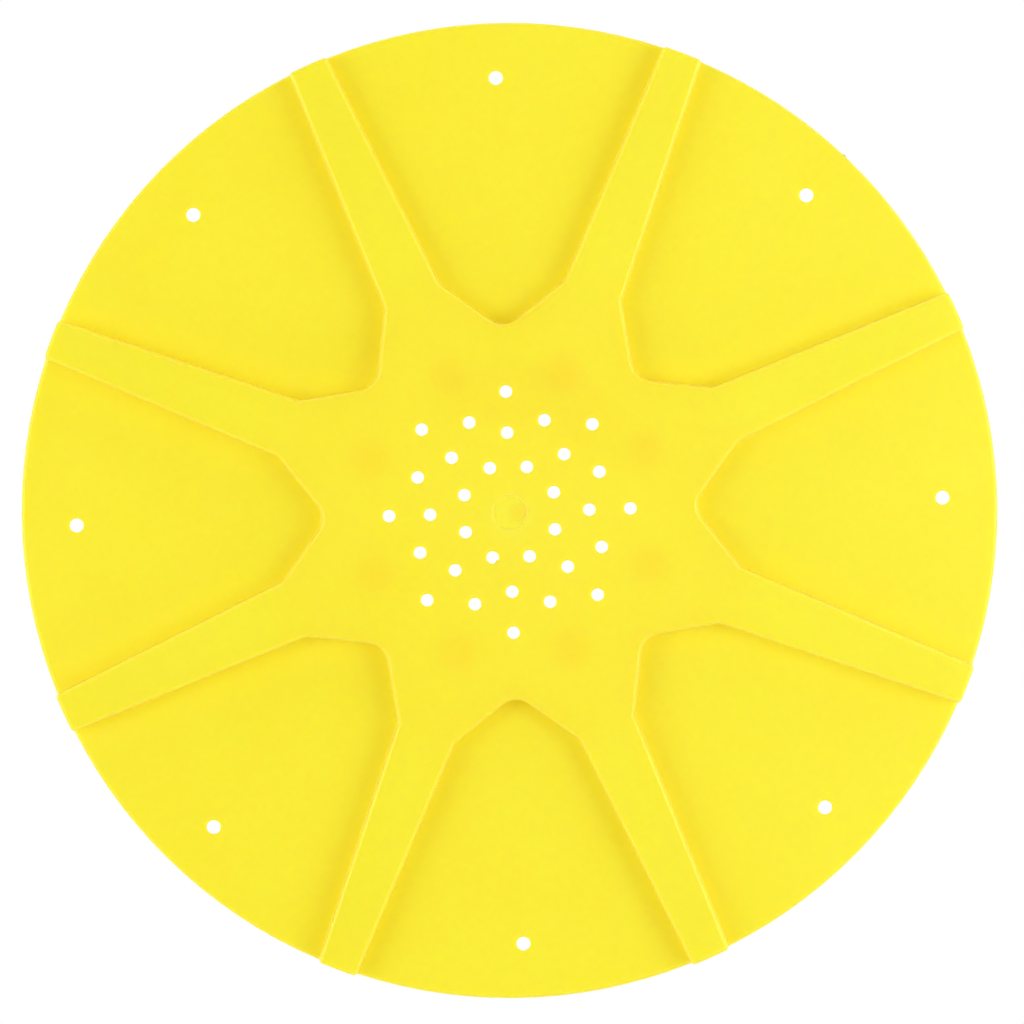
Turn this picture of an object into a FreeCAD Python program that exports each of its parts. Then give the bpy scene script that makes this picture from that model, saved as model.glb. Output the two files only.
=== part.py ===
"""Eight-way bee escape: a round, thin-walled plastic moulding that is fixed under a hive's clearer board.

The disc is one piece. Its flat flange carries a raised, hollow star: a vented chamber from which eight funnels
and channels run out to the rim. The star is open underneath and at the channels' outer ends. +Z is up, the
flange rests on Z = 0, the origin is the disc's centre and the first channel runs along +X. Millimetres.
"""

import FreeCAD, Part
import math
import os
import Sketcher

SIZES = {
    "rim_dia": 320.0,           # outside diameter of the disc
    "flange_thick": 1.6,        # flat flange between the channels
    "rise": 8.0,                # step from the flange's top to the star's top
    "roof_thick": 1.6,          # top wall of the chamber and the channels
    "wall_thick": 1.5,          # side walls, measured level
    "draft": 1.5,               # lean of every side wall in degrees, so that the moulding leaves its tool
    "tip_width": 12.9,          # outside width of a channel's top at the rim
    "root_width": 19.4,         # outside width of a channel's top where its funnel begins
    "root_radius": 77.2,        # centre to where a channel meets its funnel
    "funnel_angle": 30.5,       # half angle in degrees at which a funnel opens inwards
    "valley_round": 7.3,        # rounding between two neighbouring funnels
    "root_round": 2.5,          # rounding where a channel meets its funnel
    "edge_round": 1.1,          # rounding of the star's top edges, of the channels' ends and of the flange's rim
    "foot_round": 0.3,          # rounding where the star's walls stand on the flange
    "inner_round": 0.5,         # rounding inside, between walls and roof
    "fixing_dia": 4.6,          # nail or screw holes in the flange
    "fixing_margin": 18.0,      # rim to the fixing holes' centres
    "vent_dia": 4.1,            # vents, too small for a bee to pass
    "vent_ring_1": 15.8,        # centre to the innermost vents, in line with the channels
    "vent_ring_2": 26.0,        # centre to the second ring of vents, between the channels
    "vent_ring_3": 32.1,        # centre to the third ring of vents, in line with the channels
    "vent_ring_4": 39.4,        # centre to the outermost vents, between the channels
    "pad_dia": 15.0,            # round ejector pads under the roof, one in each funnel
    "pad_radius": 48.7,         # centre to the ejector pads
    "pad_thick": 0.4,           # how far the pads stand down from the roof
    "gate_dia": 11.0,           # round dimple where the plastic entered the mould, at the disc's centre
    "gate_depth": 0.6,          # depth of that dimple
    "gate_round": 0.35,         # rounding of the dimple's upper edge
    "gate_inner_round": 0.2,    # rounding round the dimple's floor
    "sprue_dia": 5.6,           # cut stub of the sprue, standing in the dimple
    "sprue_offset": 2.2,        # dimple's centre to the stub's centre
    "sprue_height": 0.4,        # that stub's height above the dimple's floor
    "sprue_round": 0.2,         # rounding of the stub's upper edge
    "pit_dia": 1.2,             # pit in the stub, where the sprue was pulled off
    "pit_depth": 0.3,           # depth of that pit
}

CHANNELS = 8
HALF_STEP = 180 / CHANNELS      # degrees from a channel to the middle of the field beside it
VENT_TURNS = {1: 0.0, 2: HALF_STEP, 3: 0.0, 4: HALF_STEP}    # each ring's first vent, in degrees from a channel
SPRUE_TURN = 20.0               # direction in degrees in which the cut stub lies off the centre
OVERRUN = 4.0                   # how far a channel is drawn past the rim, before everything is trimmed there
FLANGE_OVERRUN = 2.0            # how far the flange is drawn past the rim, less than a channel
TRIM_WIDTH = 20.0               # width of the ring that trims them both
BACK = 5.0                      # how far a funnel's outline reaches past the centre
BELOW = 3.0                     # how far a cut reaches below the underside
ABOVE = 2.0                     # how far above its face a cut begins
NEAR = 1e-3                     # length below which two places are the same

TOP = "(sizes.flange_thick + sizes.rise)"
ROOF = f"({TOP} - sizes.roof_thick)"
FUNNEL = "(sizes.funnel_angle * 1 deg)"
DRAFT = "(sizes.draft * 1 deg)"
SLOPE = "((sizes.root_width - sizes.tip_width) / (sizes.rim_dia - 2 * sizes.root_radius))"


def make_sheet(doc):
    """The spreadsheet that every feature below takes its sizes from."""
    sheet = doc.addObject("Spreadsheet::Sheet", "sizes")
    for row, (alias, value) in enumerate(SIZES.items(), start=1):
        sheet.set(f"A{row}", alias)
        sheet.set(f"B{row}", str(value))
        sheet.setAlias(f"B{row}", alias)
    doc.recompute()


# Sketches


def origin_item(body, role):
    """One of the planes or axes of the body's own origin."""
    return next(item for item in body.Origin.OriginFeatures if item.Role == role)


def new_sketch(body, name, height="0"):
    """An empty sketch, level, at the height expression."""
    sketch = body.newObject("Sketcher::SketchObject", name)
    sketch.AttachmentSupport = [(origin_item(body, "XY_Plane"), "")]
    sketch.MapMode = "FlatFace"
    sketch.setExpression("AttachmentOffset.Base.z", height)
    return sketch


def dimension(sketch, name, expression, kind, *places):
    """A named sketch dimension that is tied to the spreadsheet."""
    index = sketch.addConstraint(Sketcher.Constraint(kind, *places, 1.0))
    sketch.renameConstraint(index, name)
    sketch.setExpression(f"Constraints.{name}", expression)


def add_circle(sketch, name, diameter, radius="0", turn=0.0):
    """A circle that stands out from the centre by the radius expression, in the direction turn in degrees."""
    circle = sketch.addGeometry(Part.Circle(FreeCAD.Vector(1, 1, 0), FreeCAD.Vector(0, 0, 1), 1.0), False)
    dimension(sketch, f"{name}_x", f"({radius}) * cos({turn} deg)", "DistanceX", -1, 1, circle, 3)
    dimension(sketch, f"{name}_y", f"({radius}) * sin({turn} deg)", "DistanceY", -1, 1, circle, 3)
    dimension(sketch, f"{name}_dia", diameter, "Diameter", circle)


def add_polygon(sketch, corners):
    """A closed polygon of corners, each a name with its x and y expressions."""
    count = len(corners)
    turns = [math.tau * i / count for i in range(count)]
    start = [FreeCAD.Vector(math.cos(turn), math.sin(turn), 0) for turn in turns]
    for i in range(count):
        sketch.addGeometry(Part.LineSegment(start[i], start[(i + 1) % count]), False)
    for i, (name, x, y) in enumerate(corners):
        sketch.addConstraint(Sketcher.Constraint("Coincident", i, 2, (i + 1) % count, 1))
        dimension(sketch, f"{name}_x", x, "DistanceX", -1, 1, i, 1)
        dimension(sketch, f"{name}_y", y, "DistanceY", -1, 1, i, 1)


# Features


def check(item):
    """Stops if an object of the document has failed, or has no sound shape."""
    if "Invalid" in item.State or "Error" in item.State:
        raise RuntimeError(f"{item.Label} failed: {item.State}")
    if item.isDerivedFrom("PartDesign::Feature") and (item.Shape.isNull() or not item.Shape.isValid()):
        raise RuntimeError(f"{item.Label} has no sound shape")


def settle(body, feature):
    """Makes the feature the body's tip and works it out, so that the next one can pick its faces and edges."""
    body.Tip = feature
    body.Document.recompute()
    check(feature)
    return feature


def add_pad(body, name, sketch, length, downwards=False):
    """A pad of the length expression, upwards unless told otherwise."""
    pad = body.newObject("PartDesign::Pad", name)
    pad.Profile = sketch
    pad.setExpression("Length", length)
    pad.Reversed = downwards
    return settle(body, pad)


def add_pocket(body, name, sketch, depth):
    """A pocket, cut downwards from its sketch to the depth expression. It has to take material away."""
    before = body.Tip.Shape.Volume
    pocket = body.newObject("PartDesign::Pocket", name)
    pocket.Profile = sketch
    pocket.setExpression("Length", depth)
    settle(body, pocket)
    if pocket.Shape.Volume >= before:
        raise RuntimeError(f"{name} cuts nothing")
    return pocket


def repeat(body, name, features):
    """Repeats the features once for each channel."""
    pattern = body.newObject("PartDesign::PolarPattern", name)
    pattern.Originals = features
    pattern.Axis = (origin_item(body, "Z_Axis"), [""])
    pattern.Angle = 360
    pattern.Occurrences = CHANNELS
    return settle(body, pattern)


def add_fillet(body, name, radius, wanted):
    """A fillet of the radius expression on those of the body's edges that the wanted test picks."""
    base = body.Tip
    edges = [f"Edge{i}" for i, edge in enumerate(base.Shape.Edges, start=1) if wanted(edge)]
    fillet = body.newObject("PartDesign::Fillet", name)
    fillet.Base = (base, edges)
    fillet.setExpression("Radius", radius)
    return settle(body, fillet)


def add_draft(body, name, level, wanted):
    """Leans those of the body's faces that the wanted test picks outwards, from the level face down."""
    base = body.Tip
    faces = list(enumerate(base.Shape.Faces, start=1))
    level_face = next(f"Face{i}" for i, face in faces if lies_at(level)(face))
    draft = body.newObject("PartDesign::Draft", name)
    draft.Base = (base, [f"Face{i}" for i, face in faces if wanted(face)])
    draft.NeutralPlane = (base, [level_face])
    draft.setExpression("Angle", DRAFT)
    return settle(body, draft)


# Tests that pick edges and faces by where they lie


def radii(edge):
    """How far an edge's ends are from the disc's axis."""
    return [math.hypot(vertex.X, vertex.Y) for vertex in edge.Vertexes]


def lies_at(height):
    """A test for edges or faces that lie level at the given height."""
    return lambda item: item.BoundBox.ZLength < NEAR and abs(item.BoundBox.ZMin - height) < NEAR


def is_steep(item):
    """True for an edge or a face that runs from the foot of the star to its top."""
    return item.BoundBox.ZLength > SIZES["rise"] / 2


def is_side(face):
    """True for an upright face along a channel or a funnel, but not for one across a channel's end."""
    centre = face.CenterOfMass
    return is_steep(face) and math.hypot(centre.x, centre.y) < SIZES["rim_dia"] / 2


def is_valley(edge):
    """True for the steep edge between two neighbouring funnels, which lies halfway between two channels."""
    centre = edge.CenterOfMass
    turn = math.degrees(math.atan2(centre.y, centre.x))
    return is_steep(edge) and abs(turn % (2 * HALF_STEP) - HALF_STEP) < NEAR


def is_root(edge):
    """True for the steep edge where a channel meets its funnel, the star's other corner inside the rim."""
    return is_steep(edge) and not is_valley(edge) and max(radii(edge)) < SIZES["rim_dia"] / 2


def is_foot(edge):
    """True for a level edge where the star stands on the flange."""
    at_flange_top = lies_at(SIZES["flange_thick"])(edge)
    return at_flange_top and min(radii(edge)) < SIZES["rim_dia"] / 2 + FLANGE_OVERRUN - NEAR


def is_outer_edge(edge):
    """True for the star's top edges, and for all of the rim's outline except along the underside."""
    at_star_top = lies_at(SIZES["flange_thick"] + SIZES["rise"])(edge)
    on_rim = all(abs(radius - SIZES["rim_dia"] / 2) < NEAR for radius in radii(edge))
    above_underside = all(vertex.Z > NEAR for vertex in edge.Vertexes)
    return at_star_top or (on_rim and above_underside)


def is_circle(height, diameter):
    """A test for a level circle of the diameter at the height."""
    def test(edge):
        is_circle_there = lies_at(height)(edge) and isinstance(edge.Curve, Part.Circle)
        return is_circle_there and abs(2 * edge.Curve.Radius - diameter) < NEAR
    return test


# The disc


def add_star(body, height, depth, inset, rounding):
    """The star, drawn at the height expression and carried down by the depth.

    Its outline lies inside the outside one by the inset, and its corners are rounded by that much more. A funnel
    is a triangle with its apex out on the first channel's axis, and a channel is a tapering strip.
    """
    apex = f"(sizes.root_radius + (sizes.root_width / 2 - {inset} / cos({FUNNEL})) / tan({FUNNEL}))"
    back_half = f"({apex} + {BACK}) * tan({FUNNEL})"
    funnel_sketch = new_sketch(body, "funnel_outline", height)
    add_polygon(funnel_sketch, [
        ("apex", apex, "0"),
        ("back_left", f"-{BACK}", back_half),
        ("back_right", f"-{BACK}", f"-({back_half})"),
    ])
    end = f"sizes.rim_dia / 2 + {OVERRUN}"
    end_half = f"(sizes.tip_width / 2 - {OVERRUN} * {SLOPE} - {inset})"
    start_half = f"(sizes.root_width / 2 + sizes.root_radius * {SLOPE} - {inset})"
    channel_sketch = new_sketch(body, "channel_outline", height)
    add_polygon(channel_sketch, [
        ("end_left", end, end_half),
        ("start_left", "0", start_half),
        ("start_right", "0", f"-{start_half}"),
        ("end_right", end, f"-{end_half}"),
    ])
    funnel = add_pad(body, "funnel", funnel_sketch, depth, downwards=True)
    channel = add_pad(body, "channel", channel_sketch, depth, downwards=True)
    repeat(body, "star", [funnel, channel])
    add_draft(body, "lean", body.evalExpression(height), is_side)
    add_fillet(body, "roots", f"sizes.root_round + {rounding}", is_root)
    add_fillet(body, "valleys", f"sizes.valley_round + {rounding}", is_valley)


def make_hollow(doc):
    """The star's hollow as a solid: the star again, one wall further in and one roof lower down."""
    body = doc.addObject("PartDesign::Body", "hollow")
    inset = f"(sizes.wall_thick - sizes.roof_thick * tan({DRAFT}))"
    add_star(body, ROOF, f"{ROOF} + {BELOW}", inset, "sizes.wall_thick")
    add_fillet(body, "roof_edges", "sizes.inner_round", lies_at(body.evalExpression(ROOF)))
    return body


def add_flange(body):
    """The flat flange, its rounded join with the star's walls, and the rim that trims flange and star."""
    flange_sketch = new_sketch(body, "flange_outline")
    add_circle(flange_sketch, "flange", f"sizes.rim_dia + 2 * {FLANGE_OVERRUN}")
    add_pad(body, "flange", flange_sketch, "sizes.flange_thick")
    add_fillet(body, "feet", "sizes.foot_round", is_foot)
    trim_sketch = new_sketch(body, "trim_outline", f"{TOP} + {ABOVE}")
    add_circle(trim_sketch, "rim", "sizes.rim_dia")
    add_circle(trim_sketch, "outside", f"sizes.rim_dia + 2 * {TRIM_WIDTH}")
    add_pocket(body, "rim", trim_sketch, f"{TOP} + {ABOVE} + {BELOW}")
    add_fillet(body, "outer_edges", "sizes.edge_round", is_outer_edge)


def take_out(body, hollow):
    """Takes the hollow out from underneath, which leaves walls and a roof."""
    cut = body.newObject("PartDesign::Boolean", "hollowed")
    cut.Type = "Cut"
    cut.setObjects([hollow])
    settle(body, cut)


def add_ejector_pads(body):
    """Round pads under the roof, where pins pushed the moulding out of its tool."""
    sketch = new_sketch(body, "pad_outline", f"{ROOF} - sizes.pad_thick")
    add_circle(sketch, "pad", "sizes.pad_dia", "sizes.pad_radius")
    pad = add_pad(body, "ejector_pad", sketch, "sizes.pad_thick + sizes.roof_thick / 2")
    repeat(body, "ejector_pads", [pad])


def add_gate_mark(body):
    """The mark where the plastic entered: a dimple, the sprue's cut stub in it, and a pit in the stub."""
    floor = f"({TOP} - sizes.gate_depth)"
    stub_top = f"({floor} + sizes.sprue_height)"
    gate_sketch = new_sketch(body, "gate_outline", TOP)
    add_circle(gate_sketch, "gate", "sizes.gate_dia")
    add_pocket(body, "gate_dimple", gate_sketch, "sizes.gate_depth")
    stub_sketch = new_sketch(body, "stub_outline", floor)
    add_circle(stub_sketch, "stub", "sizes.sprue_dia", "sizes.sprue_offset", SPRUE_TURN)
    add_pad(body, "sprue_stub", stub_sketch, "sizes.sprue_height")
    pit_sketch = new_sketch(body, "pit_outline", stub_top)
    add_circle(pit_sketch, "pit", "sizes.pit_dia", "sizes.sprue_offset", SPRUE_TURN)
    add_pocket(body, "sprue_pit", pit_sketch, "sizes.pit_depth")
    gate_edge = is_circle(body.evalExpression(TOP), SIZES["gate_dia"])
    add_fillet(body, "gate_edge", "sizes.gate_round", gate_edge)
    floor_edge = is_circle(body.evalExpression(floor), SIZES["gate_dia"])
    add_fillet(body, "gate_floor", "sizes.gate_inner_round", floor_edge)
    stub_edge = is_circle(body.evalExpression(stub_top), SIZES["sprue_dia"])
    add_fillet(body, "stub_edge", "sizes.sprue_round", stub_edge)


def add_holes(body):
    """A fixing hole in each field of the flange, and rings of vents in the chamber's roof."""
    fixing_sketch = new_sketch(body, "fixing_outline", f"sizes.flange_thick + {ABOVE}")
    fixing_radius = "sizes.rim_dia / 2 - sizes.fixing_margin"
    add_circle(fixing_sketch, "fixing", "sizes.fixing_dia", fixing_radius, HALF_STEP)
    fixing = add_pocket(body, "fixing_hole", fixing_sketch, f"sizes.flange_thick + {ABOVE} + {BELOW}")
    vent_sketch = new_sketch(body, "vent_outline", f"{TOP} + {ABOVE}")
    for ring, turn in VENT_TURNS.items():
        add_circle(vent_sketch, f"vent_{ring}", "sizes.vent_dia", f"sizes.vent_ring_{ring}", turn)
    vents = add_pocket(body, "vents", vent_sketch, f"{TOP} + {ABOVE} + {BELOW}")
    repeat(body, "holes", [fixing, vents])


def make_disc(doc, hollow):
    """The whole moulding."""
    body = doc.addObject("PartDesign::Body", "escape_disc")
    body.Label = "escape_disc"
    add_star(body, TOP, TOP, "0", "0")
    add_flange(body)
    take_out(body, hollow)
    add_ejector_pads(body)
    add_gate_mark(body)
    add_holes(body)
    return body


def main():
    doc = FreeCAD.newDocument("bee_escape")
    make_sheet(doc)
    disc = make_disc(doc, make_hollow(doc))
    doc.recompute()
    for item in doc.Objects:
        check(item)
    if disc.Shape.isNull() or not disc.Shape.isValid() or len(disc.Shape.Solids) != 1:
        raise RuntimeError("the disc isn't one sound solid")
    os.makedirs("parts", exist_ok=True)
    disc.Shape.exportStep(f"parts/{disc.Label}.step")
    print(f"{disc.Label}: {len(disc.Shape.Faces)} faces")


main()
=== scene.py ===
"""The bee escape disc on a light table between two softboxes, seen from above.

Metres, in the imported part's own frame: +Z up, the disc's underside on Z = 0, its first channel along +X.
Directions on the disc are in radians from +X.
"""

import math

import bmesh
import bpy
from mathutils import Matrix, Vector


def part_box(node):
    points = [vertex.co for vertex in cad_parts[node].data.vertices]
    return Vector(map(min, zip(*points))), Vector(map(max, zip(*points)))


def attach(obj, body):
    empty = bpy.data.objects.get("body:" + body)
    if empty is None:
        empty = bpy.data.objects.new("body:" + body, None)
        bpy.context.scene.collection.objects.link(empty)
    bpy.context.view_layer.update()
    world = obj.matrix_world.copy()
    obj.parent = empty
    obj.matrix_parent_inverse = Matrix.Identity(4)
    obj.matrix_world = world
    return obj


DISC = "escape_disc"
MM = 0.001

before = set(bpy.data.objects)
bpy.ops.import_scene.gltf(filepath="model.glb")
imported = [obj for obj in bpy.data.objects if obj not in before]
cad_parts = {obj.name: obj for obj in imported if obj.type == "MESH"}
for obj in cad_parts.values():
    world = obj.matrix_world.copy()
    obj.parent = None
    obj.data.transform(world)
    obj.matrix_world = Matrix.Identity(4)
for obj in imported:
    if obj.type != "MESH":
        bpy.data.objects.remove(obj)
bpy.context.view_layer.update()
low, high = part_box(DISC)
RADIUS = (high.x - low.x) / 2
TOP = high.z

# The camera looks down from nearly two metres, a little off the disc's centre.
UP_TURN = math.radians(110.67)          # direction on the disc that is up in the picture
CAMERA_HEIGHT = 1.85
CAMERA_FOOT = (-0.004, 0.046)           # the point under the camera, to the picture's right and up
AIM = (0.77 * MM, -0.16 * MM)           # the point at the picture's centre, likewise
PICTURE_WIDTH = 0.3358                  # what the picture spans, at the flange
SENSOR = 36.0

# Where the moulding's marks are
AXIS = Vector((0.0, 0.0, 0.0))
CHANNEL_STEP = math.radians(45.0)
PAD_PLACE = 48.7 * MM                   # centre to the ejector pads, which lie in line with the channels
STUB_PLACE = Vector((2.6 * MM, 0.9 * MM, 0.0))
BLUSH_PLACE = Vector((0.8 * MM, -1.3 * MM, 0.0))
SHADE_PLACE = (38.0 * MM, math.radians(97.0))       # the faint shade round the vents
NUB_TURN = math.radians(67.4)                       # direction of the nub on the rim
BURR_VENT = (15.8 * MM, math.radians(-90.0))        # the innermost vent that holds a burr
BURR_TURN = UP_TURN - math.radians(135.0)           # the side of that vent on which the burr grows
BURR_REACH = 2.0 * MM                               # that vent's centre to the burr's

# The plastic, with painted light in its colour: lighter and bluer from left to right, as the light falls. A
# gain multiplies it where a mark lies; some gains are painted light, shade or highlight.
LEFT_SHADED_YELLOW = (0.95, 0.752, 0.0270, 1.0)
RIGHT_LIT_YELLOW = (0.965, 0.762, 0.0375, 1.0)
LIGHT_DRIFT_REACH = 0.2
CLOUD_SIZE = 0.045
CLOUD_GAIN = (1.0, 0.985, 0.94)
# painted light on the arms and painted shade in the middle of the star
ARM_LIGHT_GAIN = (1.03, 1.035, 1.0)
MIDDLE_SHADE_GAIN = (0.975, 0.98, 0.97)
SHADE_GAIN = (0.96, 0.965, 1.0)
# painted shade over the ejector pads
PAD_SHADE_GAIN = (1.01, 0.965, 0.86)
CENTRE_GAIN = (0.99, 1.0, 1.25)
BLUSH_GAIN = (1.0, 1.01, 1.35)
STUB_GAIN = (1.0, 0.93, 0.75)
# painted highlight on the rounded edges
EDGE_HIGHLIGHT_GAIN = (0.99, 0.92, 1.9)
STREAK_SIZE = 0.02
GRAIN_SIZE = 0.0005
GRAIN_DEPTH = 0.00005

# The studio
FLOOR_HALF = 4.0
FLOOR_LEVEL = -0.2 * MM
ROOM_LOW = 1.5                          # the room's radiance near the horizon
ROOM_HIGH = 0.2                         # its radiance further up
SOFTBOXES = (                           # name, place in the picture's frame, size, radiance
    ("right_softbox", (0.85, 0.0, 0.85), 0.68, 4.65),
    ("left_softbox", (-1.2, 0.0, 1.2), 0.96, 4.0),
)


def picture_point(right, up, height):
    """A point given by how far it lies to the picture's right and up from the disc's centre."""
    across = Vector((math.sin(UP_TURN), -math.cos(UP_TURN), 0.0))
    along = Vector((math.cos(UP_TURN), math.sin(UP_TURN), 0.0))
    return across * right + along * up + Vector((0.0, 0.0, height))


def disc_point(radius, turn, height):
    """A point given by its distance from the disc's axis and its direction."""
    return Vector((radius * math.cos(turn), radius * math.sin(turn), height))


# Shader nodes


class Nodes:
    """Adds nodes to a material or the world, and links whatever is handed in for their inputs."""

    def __init__(self, owner):
        owner.use_nodes = True
        self.tree = owner.node_tree
        self.tree.nodes.clear()

    def add(self, kind, inputs=None, **settings):
        node = self.tree.nodes.new(kind)
        for name, value in settings.items():
            setattr(node, name, value)
        for name, value in (inputs or {}).items():
            if isinstance(value, bpy.types.NodeSocket):
                self.tree.links.new(value, node.inputs[name])
            else:
                node.inputs[name].default_value = value
        return node

    def math(self, operation, first, second=0.0, third=0.0):
        return self.add("ShaderNodeMath", {0: first, 1: second, 2: third}, operation=operation).outputs[0]

    def ramp(self, value, low_end, high_end, low_value=0.0, high_value=1.0):
        """The value, smoothly brought from one range to another and kept inside it."""
        inputs = {0: value, 1: low_end, 2: high_end, 3: low_value, 4: high_value}
        return self.add("ShaderNodeMapRange", inputs, interpolation_type="SMOOTHSTEP").outputs[0]

    def fade(self, value, near_end, far_end):
        """1 up to the near end, smoothly down to 0 at the far end."""
        return self.ramp(value, near_end, far_end, 1.0, 0.0)

    def noise(self, place, size, detail=3.0, roughness=0.5):
        """Noise from 0 to 1 whose features are about the size given."""
        inputs = {"Vector": place, "Scale": 1.0 / size, "Detail": detail, "Roughness": roughness}
        return self.add("ShaderNodeTexNoise", inputs).outputs["Fac"]

    def tint(self, colour, factor, other):
        """The colour, mixed by the factor with another."""
        mix = self.add("ShaderNodeMix", data_type="RGBA")
        for index, value in ((0, factor), (6, colour), (7, other)):
            if isinstance(value, bpy.types.NodeSocket):
                self.tree.links.new(value, mix.inputs[index])
            else:
                mix.inputs[index].default_value = value
        return mix.outputs[2]

    def shade(self, colour, factor, gain):
        """The colour, brought by the factor towards itself times the gain."""
        mix = self.add("ShaderNodeMix", data_type="RGBA", blend_type="MULTIPLY")
        self.tree.links.new(factor, mix.inputs[0])
        self.tree.links.new(colour, mix.inputs[6])
        mix.inputs[7].default_value = (*gain, 1.0)
        return mix.outputs[2]

    def distance(self, place, centre):
        """How far the place lies from the centre, seen from above."""
        level = self.add("ShaderNodeVectorMath", {0: place, 1: (1.0, 1.0, 0.0)}, operation="MULTIPLY")
        inputs = {0: level.outputs[0], 1: centre}
        return self.add("ShaderNodeVectorMath", inputs, operation="DISTANCE").outputs["Value"]


def beside_channel(n, place):
    """The distance from the nearest ejector pad's centre, with all eight sectors folded onto the first."""
    axes = n.add("ShaderNodeSeparateXYZ", {"Vector": place})
    x, y = axes.outputs["X"], axes.outputs["Y"]
    turn = n.math("ARCTAN2", y, x)
    folded = n.math("SUBTRACT", turn, n.math("SNAP", n.math("ADD", turn, CHANNEL_STEP / 2), CHANNEL_STEP))
    radius = n.distance(place, AXIS)
    along = n.math("SUBTRACT", n.math("MULTIPLY", radius, n.math("COSINE", folded)), PAD_PLACE)
    across = n.math("MULTIPLY", radius, n.math("SINE", folded))
    squares = n.math("MULTIPLY_ADD", along, along, n.math("MULTIPLY", across, across))
    return n.math("SQRT", squares)


def shade_mask(n, place):
    """A faint arc round the vents, on one side only."""
    radius = n.distance(place, AXIS)
    ring = n.math("MULTIPLY", n.ramp(radius, 0.024, 0.036), n.fade(radius, 0.044, 0.056))
    middle = n.distance(place, disc_point(*SHADE_PLACE, 0.0))
    return n.math("MULTIPLY", ring, n.fade(middle, 0.012, 0.046))


def yellow_plastic():
    """Semi-gloss moulded polypropylene that lets some of the table's light through, with painted light and
    shade in its colour.
    """
    material = bpy.data.materials.new("yellow_plastic")
    n = Nodes(material)
    geometry = n.add("ShaderNodeNewGeometry").outputs
    place = geometry["Position"]
    height = n.add("ShaderNodeSeparateXYZ", {"Vector": place}).outputs["Z"]
    radius = n.distance(place, AXIS)
    rightward = {0: place, 1: picture_point(1.0, 0.0, 0.0)}
    across = n.add("ShaderNodeVectorMath", rightward, operation="DOT_PRODUCT").outputs["Value"]
    # painted light: the plastic grows lighter and bluer towards the picture's right
    colour = n.tint(LEFT_SHADED_YELLOW, n.ramp(across, -LIGHT_DRIFT_REACH, LIGHT_DRIFT_REACH), RIGHT_LIT_YELLOW)
    cloud = n.ramp(n.noise(place, CLOUD_SIZE, detail=4.0, roughness=0.6), 0.35, 0.7)
    colour = n.shade(colour, cloud, CLOUD_GAIN)
    # painted light and shade: the arms are painted a little brighter than the flange, and the middle of the
    # star duller
    raised = n.ramp(height, 5.0 * MM, 8.0 * MM)
    outer = n.ramp(radius, 0.066, 0.096)
    colour = n.shade(colour, n.math("MULTIPLY", raised, outer), ARM_LIGHT_GAIN)
    colour = n.shade(colour, n.math("MULTIPLY", raised, n.math("SUBTRACT", 1.0, outer)), MIDDLE_SHADE_GAIN)
    colour = n.shade(colour, shade_mask(n, place), SHADE_GAIN)
    # painted shade over the ejector pads, where the thicker plastic lets less of the table's light through;
    # marks of the gate
    colour = n.shade(colour, n.fade(beside_channel(n, place), 2.5 * MM, 7.5 * MM), PAD_SHADE_GAIN)
    colour = n.shade(colour, n.fade(radius, 0.018, 0.046), CENTRE_GAIN)
    colour = n.shade(colour, n.fade(n.distance(place, BLUSH_PLACE), 5.0 * MM, 10.5 * MM), BLUSH_GAIN)
    colour = n.shade(colour, n.fade(n.distance(place, STUB_PLACE), 1.6 * MM, 3.2 * MM), STUB_GAIN)
    # painted highlight: rounded edges, which neither lie flat nor stand upright, are painted paler, bluer
    # and a little less green, standing in for the softboxes' reflection in them
    upward = n.math("ABSOLUTE", n.add("ShaderNodeSeparateXYZ", {"Vector": geometry["Normal"]}).outputs["Z"])
    painted_edge_highlight = n.math("MULTIPLY", n.ramp(upward, 0.2, 0.5), n.fade(upward, 0.85, 0.998))
    colour = n.shade(colour, painted_edge_highlight, EDGE_HIGHLIGHT_GAIN)
    streak_place = n.add("ShaderNodeMapping", {"Vector": place, "Scale": (1.0, 0.25, 1.0)}).outputs[0]
    rough = n.ramp(n.noise(streak_place, STREAK_SIZE), 0.2, 0.8, 0.37, 0.45)
    grain = n.noise(place, GRAIN_SIZE, detail=2.0)
    bump = n.add("ShaderNodeBump", {"Height": grain, "Strength": 0.15, "Distance": GRAIN_DEPTH})
    shader = n.add("ShaderNodeBsdfPrincipled", {
        "Base Color": colour,
        "Roughness": rough,
        "Normal": bump.outputs[0],
        "IOR": 1.49,
        "Subsurface Weight": 1.0,
        "Subsurface Radius": (1.0, 0.68, 0.03),
        "Subsurface Scale": 0.006,
    })
    n.add("ShaderNodeOutputMaterial", {"Surface": shader.outputs[0]})
    return material


def light_table():
    """A white sheet, lit from below so that nothing on it throws a shadow, and clear from beneath."""
    material = bpy.data.materials.new("light_table")
    n = Nodes(material)
    glow = n.add("ShaderNodeEmission", {"Color": (1.0, 1.0, 1.0, 1.0), "Strength": 1.0})
    clear = n.add("ShaderNodeBsdfTransparent")
    beneath = n.add("ShaderNodeNewGeometry").outputs["Backfacing"]
    mix = n.add("ShaderNodeMixShader", {0: beneath, 1: glow.outputs[0], 2: clear.outputs[0]})
    n.add("ShaderNodeOutputMaterial", {"Surface": mix.outputs[0]})
    return material


# Small flaws of the moulding


def lump(bm, centre, turn, size):
    """Adds a smooth lump whose length, width and height are given, its length along the turn."""
    made = bmesh.ops.create_icosphere(bm, subdivisions=3, radius=0.5)
    place = Matrix.Translation(centre) @ Matrix.Rotation(turn, 4, "Z") @ Matrix.Diagonal((*size, 1.0))
    bmesh.ops.transform(bm, matrix=place, verts=made["verts"])


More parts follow.
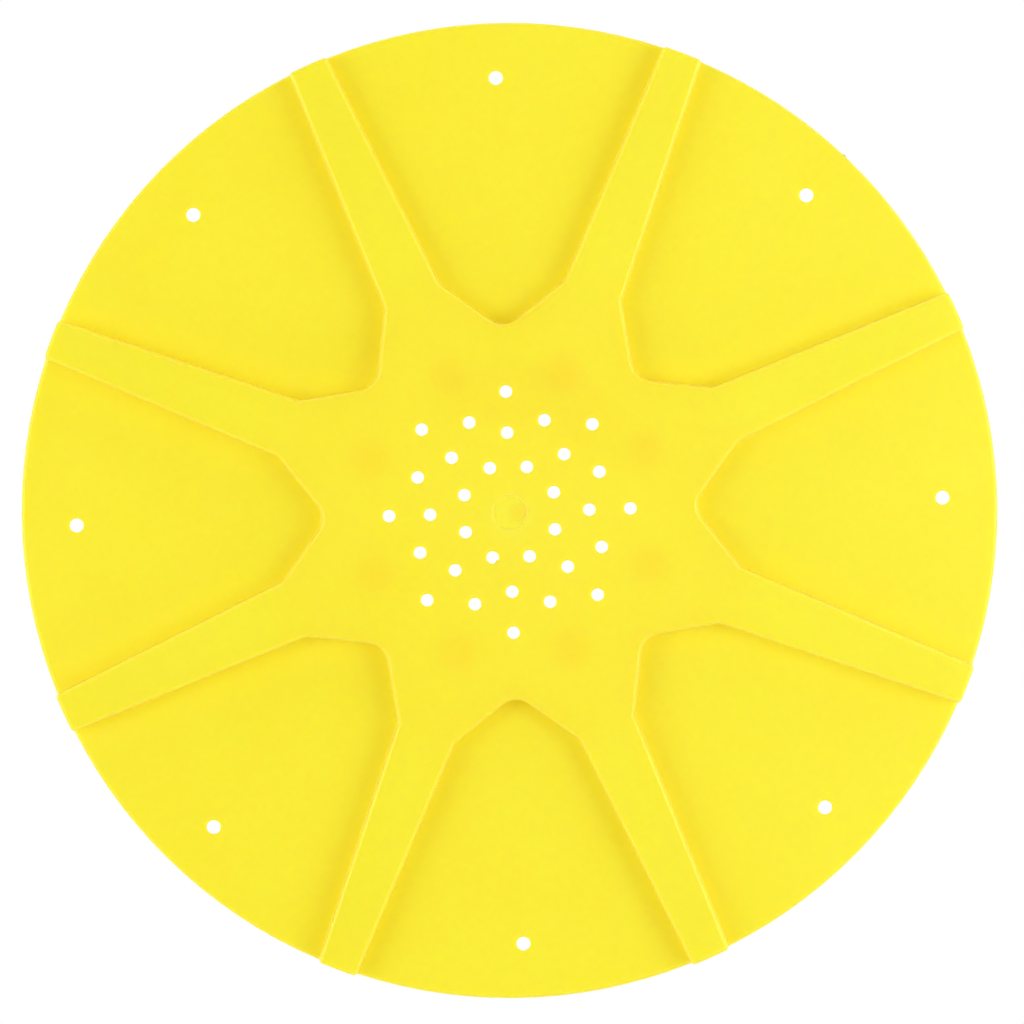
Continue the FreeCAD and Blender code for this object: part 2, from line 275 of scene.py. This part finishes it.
def make_flash(plastic):
    """Flash that the mould left: a nub on the rim and a burr in one of the innermost vents."""
    bm = bmesh.new()
    lump(bm, disc_point(RADIUS - 0.1 * MM, NUB_TURN, 0.55 * MM), NUB_TURN, (0.9 * MM, 1.6 * MM, 0.7 * MM))
    vent = disc_point(*BURR_VENT, TOP - 0.35 * MM)
    lump(bm, vent + disc_point(BURR_REACH, BURR_TURN, 0.0), BURR_TURN, (0.9 * MM, 1.5 * MM, 0.3 * MM))
    mesh = bpy.data.meshes.new("moulding_flash")
    bm.to_mesh(mesh)
    bm.free()
    mesh.shade_smooth()
    mesh.materials.append(plastic)
    flash = bpy.data.objects.new("moulding_flash", mesh)
    bpy.context.scene.collection.objects.link(flash)
    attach(flash, "root")


# The stage


def make_floor():
    signs = ((-1, -1), (1, -1), (1, 1), (-1, 1))
    corners = [(x * FLOOR_HALF, y * FLOOR_HALF, FLOOR_LEVEL) for x, y in signs]
    mesh = bpy.data.meshes.new("floor")
    mesh.from_pydata(corners, [], [(0, 1, 2, 3)])
    mesh.materials.append(light_table())
    floor = bpy.data.objects.new("floor", mesh)
    bpy.context.scene.collection.objects.link(floor)


def make_room():
    """A dim room whose light comes mostly from low down, off the white surroundings of the table."""
    world = bpy.data.worlds.new("room")
    bpy.context.scene.world = world
    n = Nodes(world)
    direction = n.add("ShaderNodeTexCoord").outputs["Generated"]
    height = n.add("ShaderNodeSeparateXYZ", {"Vector": direction}).outputs["Z"]
    strength = n.ramp(height, 0.34, 0.52, ROOM_LOW, ROOM_HIGH)
    glow = n.add("ShaderNodeBackground", {"Color": (1.0, 1.0, 1.0, 1.0), "Strength": strength})
    n.add("ShaderNodeOutputWorld", {"Surface": glow.outputs[0]})


def make_softbox(name, place, size, radiance):
    """A square softbox that faces the disc."""
    lamp = bpy.data.lights.new(name, "AREA")
    lamp.shape = "SQUARE"
    lamp.size = size
    lamp.energy = radiance * math.pi * size * size
    holder = bpy.data.objects.new(name, lamp)
    holder.location = place
    holder.rotation_euler = (-place).to_track_quat("-Z", "Y").to_euler()
    bpy.context.scene.collection.objects.link(holder)


def make_camera():
    camera = bpy.data.cameras.new("camera")
    camera.sensor_width = SENSOR
    camera.lens = SENSOR * CAMERA_HEIGHT / PICTURE_WIDTH
    camera.clip_end = 20.0
    holder = bpy.data.objects.new("camera", camera)
    eye = picture_point(*CAMERA_FOOT, CAMERA_HEIGHT)
    aim = picture_point(*AIM, 0.0)
    forward = (aim - eye).normalized()
    right = forward.cross(picture_point(0.0, 1.0, 0.0)).normalized()
    turned = Matrix((right, right.cross(forward), -forward)).transposed()
    holder.matrix_world = Matrix.Translation(eye) @ turned.to_4x4()
    bpy.context.scene.collection.objects.link(holder)
    bpy.context.scene.camera = holder


plastic = yellow_plastic()
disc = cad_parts[DISC]
disc.data.materials.clear()
disc.data.materials.append(plastic)
make_flash(plastic)
make_floor()
make_room()
for name, place, size, radiance in SOFTBOXES:
    make_softbox(name, picture_point(*place), size, radiance)
make_camera()
bpy.context.scene.view_settings.view_transform = "Standard"
